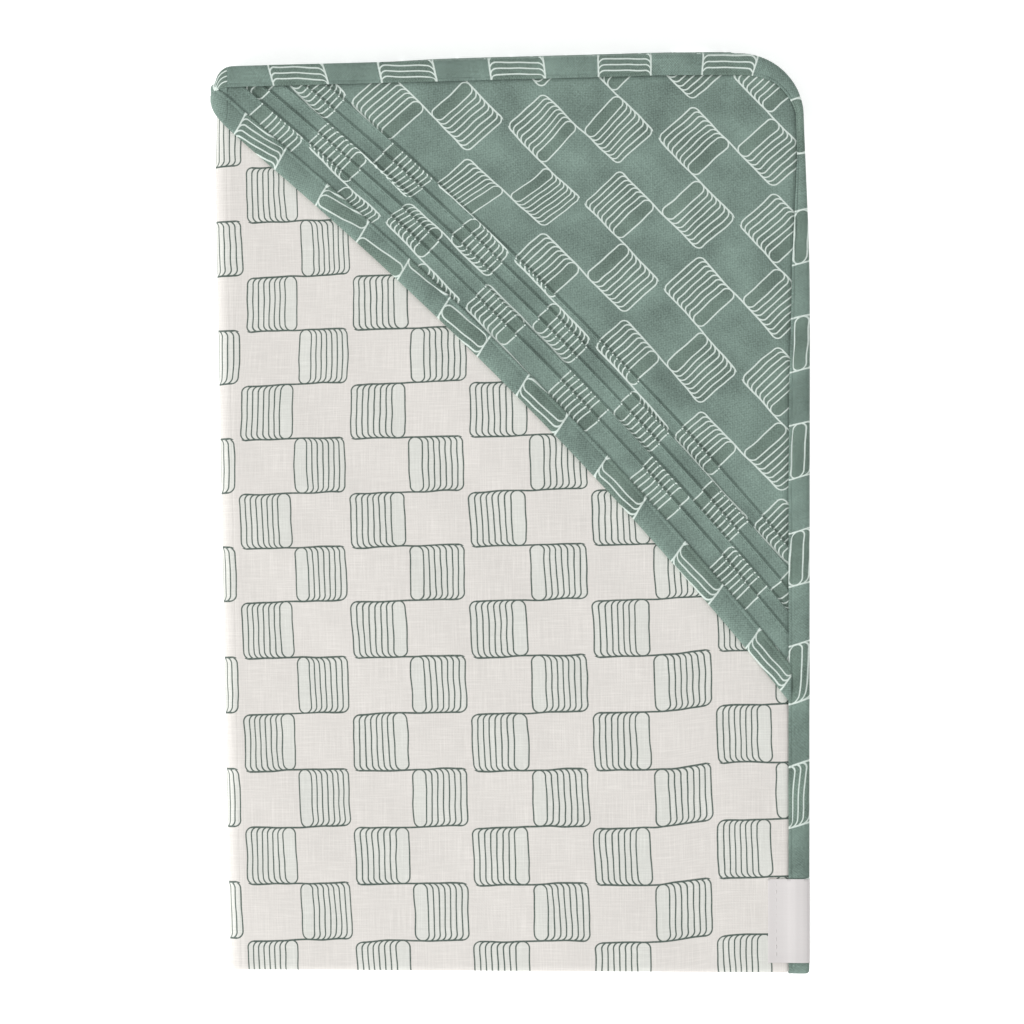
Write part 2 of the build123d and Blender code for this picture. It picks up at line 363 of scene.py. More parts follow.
def draw_bar(w, across, along, number):
    centre = w.add(w.times(number, BAR_STEP), BAR_WIDTH / 2)
    from_centre = w.less(across, centre)
    straight = (ROW - BAR_WIDTH) / 2
    past_end = w.maths("MAXIMUM", w.less(w.maths("ABSOLUTE", along), straight), 0.0)
    squared = w.add(w.times(from_centre, from_centre), w.times(past_end, past_end))
    distance = w.less(w.maths("SQRT", squared), BAR_WIDTH / 2)
    edge = w.less(LINE / 2 + LINE_SOFT, w.maths("ABSOLUTE", distance))
    outline = w.maths("DIVIDE", edge, 2 * LINE_SOFT, clamp=True)
    exists = w.maths("GREATER_THAN", number, -0.5)
    inside = w.times(w.maths("LESS_THAN", distance, 0.0), exists)
    return w.times(outline, exists), inside


# %% A block: the bar on top hides the ones under it
LAST_BAR = 7.0


def draw_block(w, across, along):
    nearest = w.maths("FLOOR", w.maths("DIVIDE", w.add(across, LINE / 2), BAR_STEP))
    top_bar = w.maths("MINIMUM", w.maths("MAXIMUM", nearest, 0.0), LAST_BAR)
    shown, open_to = 0.0, 1.0
    for behind in range(3):
        outline, inside = draw_bar(w, across, along, w.less(top_bar, float(behind)))
        seen = w.times(outline, open_to)
        shown = seen if behind == 0 else w.maths("MAXIMUM", shown, seen)
        open_to = w.times(open_to, w.less(1.0, inside))
    return shown, w.less(1.0, open_to)


# %% The whole print: blocks whose last bar is on the right, mirrored ones a row below, and one long
# line on each row's edge that joins the two
TILT, SLANT, WOBBLE = 0.022, 0.03, 1.6
ROW_LINE = 0.72


def make_print_group():
    tree = bpy.data.node_groups.new("overlapping bar print", "ShaderNodeTree")
    tree.interface.new_socket("Place", in_out="INPUT", socket_type="NodeSocketVector")
    tree.interface.new_socket("Lines", in_out="OUTPUT", socket_type="NodeSocketFloat")
    tree.interface.new_socket("Blocks", in_out="OUTPUT", socket_type="NodeSocketFloat")
    w = Wiring(tree)
    start, finish = w.node("NodeGroupInput"), w.node("NodeGroupOutput")
    shaken = w.vector("SUBTRACT", w.noise(start.outputs[0], 0.07, 1.0, "Color"), (0.5, 0.5, 0.5))
    moved = w.vector("ADD", start.outputs[0], w.vector("MULTIPLY", shaken, (WOBBLE, WOBBLE, 0)))
    place = w.node("ShaderNodeSeparateXYZ", {0: moved})
    upright = w.maths("WRAP", place.outputs[1], ROW, 0.0)
    slanted = w.less(place.outputs[0], w.times(w.less(upright, ROW / 2), SLANT))
    repeats = w.maths("FLOOR", w.maths("DIVIDE", w.add(slanted, BLOCK_GAP / 2), REPEAT))
    across = w.less(slanted, w.times(repeats, REPEAT))
    down = w.add(place.outputs[1], w.times(w.less(across, BLOCK), TILT))
    from_right = w.maths("WRAP", w.less(down, ROW / 2), ROW, -ROW)
    from_left = w.maths("WRAP", w.less(down, 1.5 * ROW), ROW, -ROW)
    first = draw_block(w, across, from_right)
    second = draw_block(w, w.less(2 * BLOCK + BLOCK_GAP, across), from_left)
    middle_across = BLOCK + BLOCK_GAP / 2
    from_middle = w.maths("ABSOLUTE", w.less(across, middle_across))
    past_end = w.maths("MAXIMUM", w.less(from_middle, middle_across - BAR_WIDTH / 2), 0.0)
    off_line = w.maths("WRAP", down, ROW / 2, -ROW / 2)
    distance = w.maths("SQRT", w.add(w.times(off_line, off_line), w.times(past_end, past_end)))
    row_line = w.maths("DIVIDE", w.less(ROW_LINE / 2 + LINE_SOFT, distance), 2 * LINE_SOFT, clamp=True)
    lines = w.maths("MAXIMUM", w.maths("MAXIMUM", first[0], second[0]), row_line)
    tree.links.new(lines, finish.inputs[0])
    tree.links.new(w.maths("MAXIMUM", first[1], second[1]), finish.inputs[1])
    return tree


bar_print = make_print_group()
print("nodes in the print drawing:", len(bar_print.nodes))

# %% [markdown]
# ## Printed muslin
# Muslin is an open plain weave of uneven thread, so close up it shows a grid, and from further off a
# few thicker threads, called slubs, running straight across and straight down. Those are stretched
# noise in both directions. The ink soaks in, so a line is never one even colour. Cloth is matt with a
# faint sheen from its loose fibres. The two colourways share one recipe.

# %% Colours, written as they look on a screen
def colour(red, green, blue):
    def linear(value):
        value /= 255
        return value / 12.92 if value <= 0.04045 else ((value + 0.055) / 1.055) ** 2.4
    return (linear(red), linear(green), linear(blue), 1.0)


OFF_WHITE, INK = colour(230, 226, 221), colour(82, 97, 90)
SAGE, MINT = colour(124, 144, 135), colour(228, 240, 233)
SATIN, TERRY = colour(223, 219, 218), colour(233, 230, 223)


# %% Threads of a plain weave, as a height and as light and dark
def weave(w, place, pitch):
    thread = w.node("ShaderNodeSeparateXYZ", {0: w.vector("SCALE", place, 2 * math.pi / pitch)})
    over = w.times(w.maths("SINE", thread.outputs[0]), w.maths("SINE", thread.outputs[1]))
    return w.add(0.5, w.times(over, 0.5))


def slubs(w, place, stretch):
    return w.maths("POWER", w.noise(w.vector("MULTIPLY", place, stretch), 1.0, 2.0), 3.0)


# %% Begin a material, and end it with its bump and shader
def start_material(name):
    material = bpy.data.materials.new(name)
    material.use_nodes = True
    material.node_tree.nodes.clear()
    return material, Wiring(material.node_tree)


def finish_material(w, base, height, distance, strength, **looks):
    bump = w.node("ShaderNodeBump", {"Height": height, "Distance": distance, "Strength": strength})
    inputs = {"Base Color": base, "Normal": bump.outputs[0]}
    inputs.update({name.replace("_", " "): value for name, value in looks.items()})
    shader = w.node("ShaderNodeBsdfPrincipled", inputs)
    w.tree.links.new(shader.outputs[0], w.node("ShaderNodeOutputMaterial").inputs[0])


# %% The cloth recipe
def cloth_material(name, ground, ink, pitch, thread_contrast, slub_contrast, mottle, block_tint, ink_strength):
    material, w = start_material(name)
    place = w.node("ShaderNodeUVMap", uv_map="cloth").outputs[0]
    drawing = w.node("ShaderNodeGroup", {0: place}, node_tree=bar_print)
    threads = weave(w, place, pitch)
    slub = w.add(slubs(w, place, (0.09, 2.1, 0)), slubs(w, place, (2.1, 0.07, 0)))
    cloud, fuzz = w.noise(place, 0.05, 3.0), w.noise(place, 1.3, 3.0)
    light = 1.0
    for part, middle, contrast in ((threads, 0.5, thread_contrast), (slub, 0.27, slub_contrast),
                                   (cloud, 0.5, mottle), (fuzz, 0.5, mottle)):
        light = w.add(light, w.times(w.less(part, middle), contrast))
    tinted = w.node("ShaderNodeMix", {0: drawing.outputs["Blocks"], 6: ground, 7: block_tint}, data_type="RGBA")
    shaded = w.vector("SCALE", tinted.outputs[2], light)
    soak = w.times(drawing.outputs["Lines"], w.add(ink_strength, w.times(w.less(fuzz, 0.5), 0.5)))
    printed = w.node("ShaderNodeMix", {0: soak, 6: shaded, 7: ink}, data_type="RGBA")
    height = w.add(w.times(threads, 0.35), w.add(w.times(slub, 0.6), w.times(fuzz, 0.35)))
    finish_material(w, printed.outputs[2], height, 0.00025, 0.45, Roughness=0.9, Specular_IOR_Level=0.2,
                    Sheen_Weight=0.08, Sheen_Roughness=0.5)
    return material


muslin_white = cloth_material("off-white printed muslin", OFF_WHITE, INK, 0.62, 0.05, 0.32, 0.06,
                              colour(226, 227, 221), 0.97)
muslin_sage = cloth_material("sage printed muslin", SAGE, MINT, 1.05, 0.42, 0.35, 1.1,
                             colour(115, 134, 124), 0.9)

# %% [markdown]
# ## Terry, thread and satin
# Terry is thousands of small loops: a cell pattern gives each loop its own bump. Sewing thread is two
# plies twisted together, drawn as slanting stripes. The woven label is satin, whose long threads give
# it a soft gloss along one direction. Its woven words are left off and the label is plain.


# %% Plain materials with their own bump
def plain_material(name, base, roughness, sheen, height_of, distance, strength, contrast, gloss=0.2):
    material, w = start_material(name)
    place = w.node("ShaderNodeTexCoord").outputs["Object"]
    height = height_of(w, place)
    light = w.add(1.0 - contrast / 2, w.times(height, contrast))
    finish_material(w, w.vector("SCALE", base[:3], light), height, distance, strength, Roughness=roughness,
                    Specular_IOR_Level=gloss, Sheen_Weight=sheen)
    return material


def loops(w, place):
    cells = w.node("ShaderNodeTexVoronoi", {"Vector": place, "Scale": 700.0})
    return w.less(1.0, cells.outputs["Distance"])


def twist(w, place):
    stripes = w.node("ShaderNodeTexWave", {"Vector": place, "Scale": 900.0, "Distortion": 0.6},
                     bands_direction="DIAGONAL")
    return stripes.outputs["Fac"]


def satin_threads(w, place):
    return w.noise(w.vector("MULTIPLY", place, (120.0, 2600.0, 120.0)), 1.0, 2.0)


terry_loops = plain_material("looped terry", TERRY, 0.95, 0.2, loops, 0.0006, 0.7, 0.12)
# Sage sewing thread for the seams: its colour is darker than the thread's own sage, and the extra darkness is painted
# shade of the needle holes along the seams.
sage_thread_painted_shade = plain_material("sage sewing thread", colour(100, 121, 111), 0.75, 0.1, twist, 0.0001, 0.5, 0.2)
tuck_thread = plain_material("sage tuck thread", colour(134, 156, 146), 0.75, 0.1, twist, 0.0001, 0.5, 0.2)
pale_thread = plain_material("pale sewing thread", colour(223, 220, 218), 0.7, 0.1, twist, 0.0001, 0.5, 0.15)
label_satin = plain_material("plain satin ribbon", SATIN, 0.45, 0.05, satin_threads, 0.0001, 0.35, 0.05, 0.4)

# %% [markdown]
# ## The towel's face and its terry
# Each third is one sheet from head edge to foot to head edge again, so its mesh is a long grid that the
# folding function bends. The grid is fine on the top ply, which is seen, and coarser in the plies that
# are folded away. Near the edge the cloth dips into its binding.

# %% Grid lines along and across a third
def along_lines(inset, step):
    near_edge = inset + np.array([0, 0.3, 1, 2.2, 4, 6.5, 7.2, 7.8, 8.4, 9.2, 10.2, 12, 15, 19, 24])
    flat = np.arange(28, FOOT_STARTS - 1, step)
    bend = np.linspace(FOOT_STARTS, FOOT_ENDS, 13)
    lower = CLOTH_LENGTH - np.arange(28, FOOT_STARTS - 1, 8.0)[::-1]
    return np.concatenate([near_edge, flat, bend, lower, CLOTH_LENGTH - near_edge[::-1]])


def across_lines(third, step):
    count = int((third.right - third.left) / step)
    lines = np.linspace(0, 1, count)
    width = third.right - third.left
    dense = np.array([0.4, 1.2, 3, 5, 6.5, 7.2, 7.8, 8.4, 9.2, 10.4, 12]) / width
    extra = ([dense] if third.left_bound else []) + ([1 - dense] if third.right_bound else [])
    return np.unique(np.concatenate([lines] + extra))


# %% Distance from a point to the nearest bound edge, corner included
def from_edge(third, x, v):
    head = np.minimum(v, CLOTH_LENGTH - v)
    side = np.full_like(x, 999.0)
    if third.left_bound:
        side = np.minimum(side, x - third.left)
    if third.right_bound:
        side = np.minimum(side, third.right - x)
    in_corner = (head < CORNER) & (side < CORNER)
    round_way = CORNER - np.hypot(CORNER - head, CORNER - side)
    return np.where(in_corner, round_way, np.minimum(head, side))


# %% One layer of a third
def third_layer(third, open_height, bound_height, inset, step):
    v = along_lines(inset, step)
    left, right = side_limits(third, v, inset)
    share = across_lines(third, step)
    x = left[:, None] + (right - left)[:, None] * share
    v = np.broadcast_to(v[:, None], x.shape)
    sewn = smooth(from_edge(third, x, v), BINDING - 0.4, BINDING + 1.6)
    height = bound_height + (open_height - bound_height) * sewn
    return fold(third, x, v, height), x, v


FOLD_WIDTH = math.pi * (TOP - LEFT_FOLD[2])
FACE_IN_BINDING, TERRY_IN_BINDING = 1.5, 0.5
FACE_INSET, TERRY_INSET = 0.8, 1.2
FACE_CLOTH, TERRY_CLOTH, STRIP_CLOTH, HOOD_CLOTH, RIBBON = 0.6, 1.0, 0.4, 0.5, 0.16
MIDDLE_TURNS_BACK = 2 * LEFT_FOLD[0] - FOLD_WIDTH
END_TURNS_BACK = MIDDLE_TURNS_BACK - 2 * RIGHT_FOLD[0] - FOLD_WIDTH


def place_on_cloth(third, x, v):
    if third is middle:
        return MIDDLE_TURNS_BACK - x, CLOTH_LENGTH - v
    return (x if third is front else x + END_TURNS_BACK), v


STEP, LOW_TERRY = {"front": 2.0, "middle": 6.0, "end": 6.0}, 0.1
faces, terries = {}, {}
for third in (end, middle, front):
    points, x, v = third_layer(third, PLY, FACE_IN_BINDING, FACE_INSET, STEP[third.name])
    places = towel_print(*place_on_cloth(third, x, v))
    faces[third.name] = cloth(third.name + "_cloth", points, places, muslin_white, FACE_CLOTH, flip=True)
    points, x, v = third_layer(third, LOW_TERRY, TERRY_IN_BINDING, TERRY_INSET, 6.0)
    terries[third.name] = cloth(third.name + "_terry", points, np.stack([x, v], -1), terry_loops, TERRY_CLOTH)
for name, piece in faces.items():
    print(name, "face has", len(piece.data.polygons), "quads")

# %% [markdown]
# ## Where the cloth turns from one third into the next
# At a side fold the cloth goes half way round a roll. Its starting line is the edge of the third above,
# and each point of that edge is carried round the fold's axis, which also closes the roll at the foot.


# %% Carry a layer round a side fold
TURN = math.pi * np.array([0, 0.004, 0.02] + [k / 18 for k in range(1, 18)] + [0.98, 0.996, 1])


def fold_layer(third, axis, side, open_height, bound_height, inset):
    v = along_lines(inset, 4.0)
    head = np.minimum(v, CLOTH_LENGTH - v)
    height = bound_height + (open_height - bound_height) * smooth(head, BINDING - 0.4, BINDING + 1.6)
    edge = fold(third, np.full_like(v, axis[0]), v, height)
    points = carry(edge[:, None, :], axis, side, TURN[None, :])
    return points, v


side_folds = {"left_fold": (front, LEFT_FOLD, -1), "right_fold": (middle, RIGHT_FOLD, 1)}
fold_cloths, fold_terries = {}, {}
for name, (third, axis, side) in side_folds.items():
    points, v = fold_layer(third, axis, side, PLY, FACE_IN_BINDING, FACE_INSET)
    way = side * TURN[None, :] / math.pi * FOLD_WIDTH
    places = towel_print(*place_on_cloth(third, axis[0] + way, v[:, None]))
    fold_cloths[name] = cloth(name + "_cloth", points, places, muslin_white, FACE_CLOTH, flip=side > 0)
    points, v = fold_layer(third, axis, side, LOW_TERRY, TERRY_IN_BINDING, TERRY_INSET)
    places = np.stack(np.broadcast_arrays(way, v[:, None]), -1)
    fold_terries[name] = cloth(name + "_terry", points, places, terry_loops, TERRY_CLOTH, flip=side < 0)

# %% [markdown]
# ## The binding
# The binding is a strip of the sage cloth, folded over the raw edges and sewn once. A curve with a
# bevel shape would twist at the corners. Sweeping the strip's section along the cut edge, in the flat
# cloth, and folding the result keeps the seam at one distance from the edge, round the corners and
# round the foot. The strip is a little puffed between its fold and its stitches, and pinched by them.


# %% The cut edge of a third: points, inward directions and the distance travelled
def edge_path(third, step):
    r, width = CORNER, third.right - third.left
    turn = np.linspace(0, math.pi / 2, int(r * math.pi / 2 / min(step, 2)))[1:-1]
    head = np.arange(0, width - r, step)
    side = np.unique(np.concatenate([np.arange(r, CLOTH_LENGTH - r, step),
                                     np.linspace(FOOT_STARTS - 1, FOOT_ENDS + 1, 15), [CLOTH_LENGTH - r]]))
    one, none = np.ones, np.zeros
    x = [head, width - r + r * np.sin(turn), none(len(side)) + width, width - r + r * np.cos(turn), head[::-1]]
    v = [none(len(head)), r - r * np.cos(turn), side, CLOTH_LENGTH - r + r * np.sin(turn),
         one(len(head)) * CLOTH_LENGTH]
    in_x = [none(len(head)), -np.sin(turn), -one(len(side)), -np.cos(turn), none(len(head))]
    in_v = [one(len(head)), np.cos(turn), none(len(side)), -np.sin(turn), -one(len(head))]
    x, v, in_x, in_v = (np.concatenate(part) for part in (x, v, in_x, in_v))
    travelled = distance_along(np.stack([x, v], -1))
    if third.right_bound:
        return third.left + x, v, in_x, in_v, travelled
    return third.right - x, v, -in_x, in_v, travelled


def head_path(third, v, step):
    x = np.linspace(third.left, third.right, int((third.right - third.left) / step))
    inward = 1.0 if v == 0 else -1.0
    return x, np.full_like(x, v), np.zeros_like(x), np.full_like(x, inward), x - third.left


# %% The strip's section: distance in from the edge, level from inner to outer side, and puff
SEAM, EDGE_OF_SECTION = BINDING - 1.25, 13
SECTION = np.array([
    (BINDING + 0.05, 1, 0.02), (BINDING - 0.2, 1, 0.2), (BINDING - 0.6, 1, 0.2), (SEAM + 0.25, 1, 0.05),
    (SEAM, 1, 0.0), (SEAM - 0.3, 1, 0.06), (SEAM - 1, 1, 0.28), (4.6, 1, 0.42), (3.0, 1, 0.46), (1.8, 1, 0.40),
    (0.9, 1, 0.22), (0.35, 0.93, 0.05), (0.08, 0.78, 0), (0.0, 0.5, 0), (0.08, 0.22, 0), (0.35, 0.07, 0),
    (1.0, 0, -0.05), (3.5, 0, -0.12), (6.5, 0, -0.08), (BINDING, 0, 0.0),
])


def hood_lift_at(third, v):
    """How much thicker the binding is where it also holds the hood."""
    if third is not front:
        return np.zeros_like(v)
    y = np.where(v < FOOT_STARTS, HEAD - v, FOOT)
    return HOOD_RISE * smooth(y, HOOD_END - 6, HOOD_END + 1)


def puff_at(third, v):
    return np.where((v < FOOT_STARTS) & (third is front), 1.0, 0.3)


# %% Where it leaves the round corner the strip rolls over the edge, and less of it shows from above
ROLL = [(0, 0), (7, 2.4), (25, 5.7), (42, 5.5), (64, 3.6), (87, 1.7), (134, 0.4), (176, 0)]


def rolled(third, x, v):
    if third is not front:
        return np.zeros(np.broadcast(x, v).shape)
    return read_off(ROLL, v) * smooth(x, third.right - 35, third.right - 12)


def sweep(third, path, section):
    x, v, in_x, in_v, travelled = (part[:, None] for part in path)
    inset, level, puff = section.T
    inset = inset * (1 - level * rolled(third, x, v) / BINDING)
    pucker = 1 + 0.22 * np.sin(travelled / 1.9) + 0.15 * np.sin(travelled / 4.3 + 1) * np.sin(travelled / 23)
    height = level * (PLY + hood_lift_at(third, v)) + puff * puff_at(third, v) * pucker
    return fold(third, x + in_x * inset, v + in_v * inset, height)


# %% Where the print falls on the strip
HOOD_END = HEAD - 265.0
STRIP_START, CORNER_SLIP = 17.4, 4.1
STRIP_SHEAR = [(0, -0.34), (110, -0.2), (200, 0.05), (260, -0.05), (300, -0.3)]
SIDE_SLIP = [(290, 0), (446, 4.3), (495, 1.6), (545, -4.2)]
LEAD_AT_HEAD, LEAD_AT_SIDE, LEAD_AT_FOOT = 10.8, 7.6, 3.6


def from_seam_side(section, scale=1.0):
    """How far in from the edge on the strip's upper side, and the same as a minus on its lower side."""
    return np.where(np.arange(len(section)) < EDGE_OF_SECTION, section[:, 0] * scale, -section[:, 0])


def strip_print(path, section):
    travelled = path[4][:, None]
    gone_over = 0.0 if path[0] is None else rolled(front, path[0], path[1])[:, None] / BINDING
    side = from_seam_side(section, 1 - gone_over) + SEAM * gone_over
    round_corner = smooth(travelled, 205, 262)
    lead = LEAD_AT_HEAD + (LEAD_AT_SIDE - LEAD_AT_HEAD) * round_corner + 0.9 * np.sin(travelled / 67)
    lead = lead + LEAD_AT_FOOT * smooth(travelled, 470, 540) + 1.6 * round_corner * (1 - smooth(travelled, 290, 330))
    x = BLOCK - lead + side
    slip = read_off(SIDE_SLIP, travelled) - CORNER_SLIP * round_corner
    y = travelled - STRIP_START + slip + read_off(STRIP_SHEAR, travelled) * side
    return np.stack(np.broadcast_arrays(x, y), -1)


# %% Sew a binding to each third
bindings, binding_paths = {}, {}
for third in (end, front):
    path = edge_path(third, 1.0 if third is front else 4.0)
    binding_paths[third.name] = path
    bindings[third.name] = cloth(third.name + "_bound_edge", sweep(third, path, SECTION), strip_print(path, SECTION),
                                 muslin_sage, STRIP_CLOTH, flip=third is end)
for side, v in (("upper", 0.0), ("lower", CLOTH_LENGTH)):
    path = head_path(middle, v, 3.0)
    binding_paths["middle_" + side] = path
    bindings["middle_" + side] = cloth("middle_bound_edge_" + side, sweep(middle, path, SECTION),
                                       strip_print(path, SECTION), muslin_sage, STRIP_CLOTH, flip=side == "lower")
print("bound edge of the front third:", round(binding_paths["front"][4][-1]), "mm")

# %% Carry the binding round the side folds, where it also holds the hood's tip
fold_bindings = {}
for name, (third, axis, side) in side_folds.items():
    for ply_name, v in (("outer", 0.0), ("inner", CLOTH_LENGTH)):
        inset, level, puff = SECTION.T
        start_rise = hood_lift_at(third, np.array([v]))[0]
        rise = start_rise * (1 - smooth(TURN, 2.2, math.pi))[:, None]
        height = level * (PLY + rise) + 0.3 * puff
        at = np.full((len(TURN), len(inset)), axis[0])
        edge = fold(third, at, abs(v - inset), height)
        points = carry(edge, axis, side, TURN[:, None])
        way = TURN / math.pi * FOLD_WIDTH
        path = (None, None, None, None, STRIP_START + 50 - way)
        fold_bindings[name, ply_name] = cloth(name + "_bound_edge_" + ply_name, points, strip_print(path, SECTION),
                                              muslin_sage, STRIP_CLOTH, flip=(side < 0) == (ply_name == "outer"))

# %% [markdown]
# ## The hood
# The hood is a corner piece, cut on the cross and caught in the binding on two sides. Its free edge is
# an arc. Rows of the mesh run along that arc and get shorter towards the sewn corner, so the pintucks,
# which follow the same arc, are simply rows lifted into a ridge. Each tuck also swallows a little cloth,
# and that is why the print jumps sideways at every one. Past the left fold, the same cloth is carried
# round the roll as the hood's tip.

# %% The free edge's arc
EDGE_LEFT = np.array([LEFT_FOLD[0], HEAD - 25.0])
EDGE_RIGHT = np.array([front.right - BINDING, HOOD_END])
BOW = 6.5
chord = EDGE_RIGHT - EDGE_LEFT
half_chord = np.linalg.norm(chord) / 2
ARC = (half_chord**2 + BOW**2) / (2 * BOW)
TO_CORNER = np.array([-chord[1], chord[0]]) / (2 * half_chord)
CENTRE = (EDGE_LEFT + EDGE_RIGHT) / 2 + TO_CORNER * (BOW - ARC)
print("free edge radius", round(ARC, 1), "mm")


# %% Where the hood's rows meet the fold, the head binding and the side binding
UNDER_BINDING = BINDING - 0.8


def hood_outline(inset):
    r = CORNER - inset
    right, top = front.right - inset, HEAD - inset
    turn = np.linspace(0, math.pi / 2, 60)
    x = [np.full(40, LEFT_FOLD[0]), np.linspace(LEFT_FOLD[0], right - r, 200)[1:], right - r + r * np.sin(turn)[1:],
         np.full(400, right)[1:]]
    y = [np.linspace(EDGE_LEFT[1] - 6, top, 40), np.full(199, top), top - r + r * np.cos(turn)[1:],
         np.linspace(top - r, HOOD_END - 12, 400)[1:]]
    x, y = np.concatenate(x), np.concatenate(y)
    over = rolled(front, x + inset, HEAD - y)
    around = np.clip((y - (top - r)) / max(r, 1.0), 0, 1)
    return np.stack([x + over * np.sqrt(1 - around**2), y + over * around], -1)


class HoodPlan:
    def __init__(self, inset):
        spoke = hood_outline(inset) - CENTRE
        out = np.hypot(*spoke.T) - ARC
        angle = np.arctan2(spoke[:, 1], spoke[:, 0])
        peak = int(np.argmax(out))
        self.deepest = out[peak]
        self.left = (out[: peak + 1], angle[: peak + 1])
        self.right = (out[peak:][::-1], angle[peak:][::-1])

    def ends(self, out):
        return np.interp(out, *self.left), np.interp(out, *self.right)

    def points(self, out, share):
        a, b = self.ends(out)
        angle = a + (b - a) * share
        return CENTRE[0] + (ARC + out) * np.cos(angle), CENTRE[1] + (ARC + out) * np.sin(angle)

    def share(self, x, y):
        out = np.hypot(x - CENTRE[0], y - CENTRE[1]) - ARC
        a, b = self.ends(out)
        return np.clip((np.arctan2(y - CENTRE[1], x - CENTRE[0]) - a) / (b - a - 1e-12), 0, 1)


hood_plan = HoodPlan(UNDER_BINDING)
print("free edge to sewn corner:", round(hood_plan.deepest, 1), "mm")

# %% Pintucks: a pinch that rises slowly from the free edge's side and drops sharply on the other
TUCKS = [17.2 + 5.7 * number for number in range(5)]
TUCK_PROFILE = np.array([(-2.4, 0), (-1.7, 0.04), (-1.15, 0.2), (-0.6, 0.55), (-0.2, 0.78), (0.02, 0.7), (0.14, 0.0),
                         (0.35, -0.36), (0.65, -0.3), (1.1, -0.1), (2.0, 0)])


def tuck_height(out):
    return sum(read_off(TUCK_PROFILE, out - tuck) for tuck in TUCKS)


# %% Soft creases across the hood, as a place, a direction, a length, a width and a height
CREASES = [(28, 148, -0.9, 22, 4.5, 1.5), (40, 128, -1.0, 26, 5.0, -1.0), (55, 60, -0.95, 20, 4.5, 1.4),
           (86, 30, -0.6, 22, 5.0, 0.9), (-8, 152, -0.5, 26, 6.0, 0.8), (84, 150, 0.6, 26, 9.0, -0.8)]


def crease_height(x, y):
    total = 0.25 * np.sin(x / 13.0 - y / 17.0) * np.sin(y / 21.0 + 1)
    for at_x, at_y, direction, length, width, height in CREASES:
        along = (x - at_x) * math.cos(direction) + (y - at_y) * math.sin(direction)
        aside = (y - at_y) * math.cos(direction) - (x - at_x) * math.sin(direction)
        total = total + height * np.exp(-((along / length) ** 2) - (aside / width) ** 2)
    return total


# %% Height of the hood's cloth above the towel, dipping into the binding on its sewn sides
def hood_height(x, y, out):
    v = HEAD - y
    from_seam = from_edge(front, x, v) - BINDING + rolled(front, x, v)
    sewn = smooth(from_seam, -0.5, 2.2)
    tucks = tuck_height(out) * (0.85 + 0.15 * np.sin(x / 9.0))
    loose = tucks + crease_height(x, y) * smooth(from_seam, 0, 18) * smooth(out, 30, 52)
    gathered = 0.16 * np.sin((x - y) / 3.1) * smooth(out, 8, 14) * (1 - smooth(out, 40, 46))
    return PLY + HOOD_RISE - 0.75 * (1 - sewn) + (loose + gathered) * sewn


# %% The hood's place in its print, which is laid on the cross
BLOCK_AT = np.array([45.23, 125.85])
ONE_REPEAT = np.array([33.22, -35.55])
TWO_ROWS = np.array([-30.60, -25.70])
TUCK_TAKES = TO_CORNER * 3.0 + np.array([TO_CORNER[1], -TO_CORNER[0]]) * 0.7
to_repeats = np.linalg.inv(np.stack([ONE_REPEAT, TWO_ROWS], -1))


def hood_print(points):
    place = settle(points)[..., :2]
    eased = (1 - smooth(place[..., 0], 5, 55)) * smooth(place[..., 1], 112, 140)
    low = smooth(place[..., 0], 40, 90) * (1 - smooth(place[..., 1], 30, 110))
    place = place + eased[..., None] * (-2.5, 5.1) + low[..., None] * (2.2, 1.9)
    repeats = (place - BLOCK_AT) @ to_repeats.T
    return repeats * (REPEAT, 2 * ROW) + (BLOCK / 2, ROW / 2)


def tuck_jumps(rows):
    middles = (rows[:-1] + rows[1:]) / 2
    passed = np.array([sum(m < tuck for tuck in TUCKS) for m in middles])
    jump = -(TUCK_TAKES @ to_repeats.T) * (REPEAT, 2 * ROW)
    return (passed[:, None] * jump)[:, None, None, :]


# %% Make the hood's cloth and its lining
hood_rows = np.unique(np.concatenate(
    [[1.0, 4.0, 7.5, 9.0, 10.2, 11.8, 13.4]] + [tuck + TUCK_PROFILE[:, 0] for tuck in TUCKS]
    + [np.arange(43, hood_plan.deepest - 1, 2.4), hood_plan.deepest - np.array([1.2, 0.5, 0.02])]))
share = np.linspace(0, 1, 150)
x, y = hood_plan.points(hood_rows[:, None], share[None, :])
out = np.broadcast_to(hood_rows[:, None], x.shape)
points = fold(front, x, HEAD - y, hood_height(x, y, out))
hood_cloth = cloth("hood_cloth", points, hood_print(points), muslin_sage, HOOD_CLOTH,
                   row_shift=tuck_jumps(hood_rows))
lining_rows = np.concatenate([[1.0, 5.0], np.arange(10, hood_plan.deepest - 2, 5), [hood_plan.deepest - 0.1]])
x, y = hood_plan.points(lining_rows[:, None], np.linspace(0, 1, 60)[None, :])
hood_under = cloth("hood_under_cloth", fold(front, x, HEAD - y, PLY + 0.32), np.stack([x, y], -1), terry_loops,
                   HOOD_CLOTH, flip=True)
print("hood cloth has", len(hood_cloth.data.polygons), "quads")

# %% The free edge's binding
HOOD_BINDING = 9.3
HOOD_SEAM = HOOD_BINDING - 1.25
HOOD_SECTION = np.array([
    (HOOD_BINDING + 0.05, 1, 0.03), (HOOD_BINDING - 0.2, 1, 0.26), (HOOD_BINDING - 0.6, 1, 0.24),
    (HOOD_SEAM + 0.25, 1, 0.06), (HOOD_SEAM, 1, 0.0), (HOOD_SEAM - 0.3, 1, 0.08), (HOOD_SEAM - 1, 1, 0.32),
    (5.5, 1, 0.48), (3.4, 1, 0.52), (2.0, 1, 0.42), (0.9, 1, 0.15), (0.35, 0.9, 0), (0.08, 0.7, 0), (0.0, 0.5, 0),
    (0.08, 0.25, 0), (0.35, 0.06, 0), (1.0, 0, 0), (4.0, 0, 0), (HOOD_BINDING, 0, 0),
])
HOOD_FLOOR = 0.3
DRIFT = [(0, -9), (15, -8), (72, 3), (120, 7.2), (170, 9.5), (330, 10.6)]
